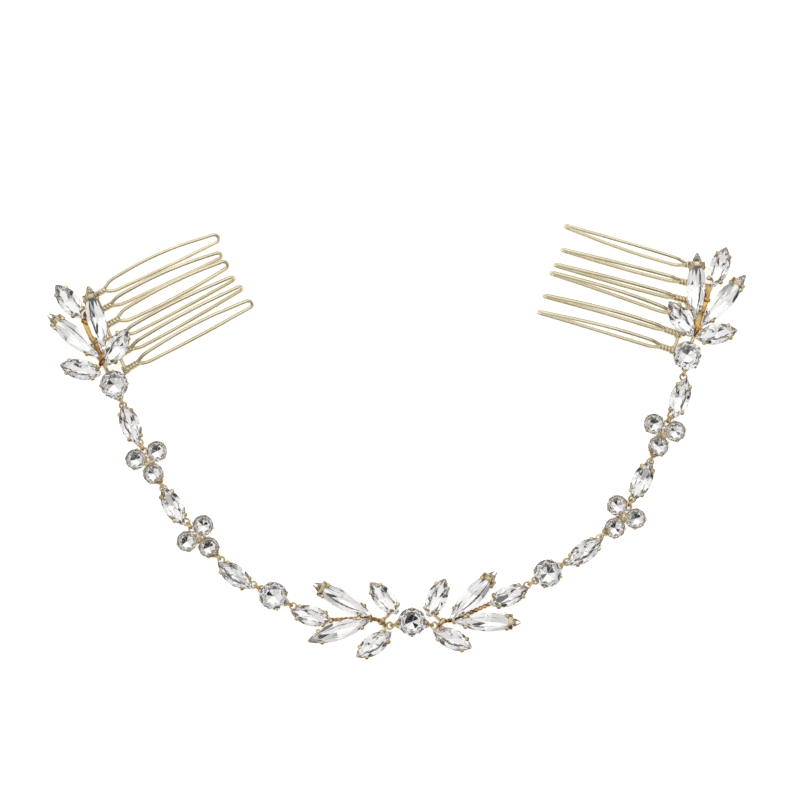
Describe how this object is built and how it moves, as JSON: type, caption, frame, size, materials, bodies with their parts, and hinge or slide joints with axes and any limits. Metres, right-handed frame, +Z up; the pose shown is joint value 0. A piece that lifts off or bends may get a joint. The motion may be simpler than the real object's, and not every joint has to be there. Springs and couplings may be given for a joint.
{
  "type": "hair vine",
  "caption": "Bridal hair vine lying in an open curve: clear cut stones in gold claw settings, strung on small rings between two wire hair combs with leaf-like sprigs.",
  "frame": {"origin": "middle of the flat base of the centre stone's setting, on the surface that the vine lies on", "axes": "+X along the vine from the left comb towards the right comb as pictured, +Y from the centre stone towards the combs, +Z up out of the surface"},
  "size_m": [0.1537, 0.0959, 0.0072],
  "materials": {
    "crystal": "faceted, polished",
    "setting_gold": "polished pale gold",
    "comb_gold": "polished pale gold wire"
  },
  "bodies": {
    "root": {"stone_centre": "crystal", "stone_left_round": "crystal", "stone_right_round": "crystal", "stone_left_comb_round": "crystal", "stone_right_comb_round": "crystal", "stone_left_sprig_1": "crystal", "stone_left_sprig_2": "crystal", "stone_left_sprig_3": "crystal", "stone_left_sprig_4": "crystal", "stone_left_sprig_5": "crystal", "stone_right_sprig_1": "crystal", "stone_right_sprig_2": "crystal", "stone_right_sprig_3": "crystal", "stone_right_sprig_4": "crystal", "stone_right_sprig_5": "crystal", "stone_left_comb_1": "crystal", "stone_left_comb_2": "crystal", "stone_left_comb_3": "crystal", "stone_left_comb_4": "crystal", "stone_left_comb_5": "crystal", "stone_right_comb_1": "crystal", "stone_right_comb_2": "crystal", "stone_right_comb_3": "crystal", "stone_right_comb_4": "crystal", "stone_right_comb_5": "crystal", "stone_left_string_1": "crystal", "stone_left_string_2": "crystal", "stone_left_string_3": "crystal", "stone_right_string_1": "crystal", "stone_right_string_2": "crystal", "stone_right_string_3": "crystal", "trefoil_stones_left_1": "crystal", "trefoil_stones_left_2": "crystal", "trefoil_stones_right_1": "crystal", "trefoil_stones_right_2": "crystal", "setting_centre": "setting_gold", "setting_left_round": "setting_gold", "setting_right_round": "setting_gold", "setting_left_sprig": "setting_gold", "setting_right_sprig": "setting_gold", "setting_left_comb": "setting_gold", "setting_right_comb": "setting_gold", "setting_left_string_1": "setting_gold", "setting_left_string_2": "setting_gold", "setting_left_string_3": "setting_gold", "setting_right_string_1": "setting_gold", "setting_right_string_2": "setting_gold", "setting_right_string_3": "setting_gold", "setting_left_trefoil_1": "setting_gold", "setting_left_trefoil_2": "setting_gold", "setting_right_trefoil_1": "setting_gold", "setting_right_trefoil_2": "setting_gold", "comb_left": "comb_gold", "comb_right": "comb_gold", "links_left": "setting_gold", "links_right": "setting_gold"}
  },
  "joints": []
}
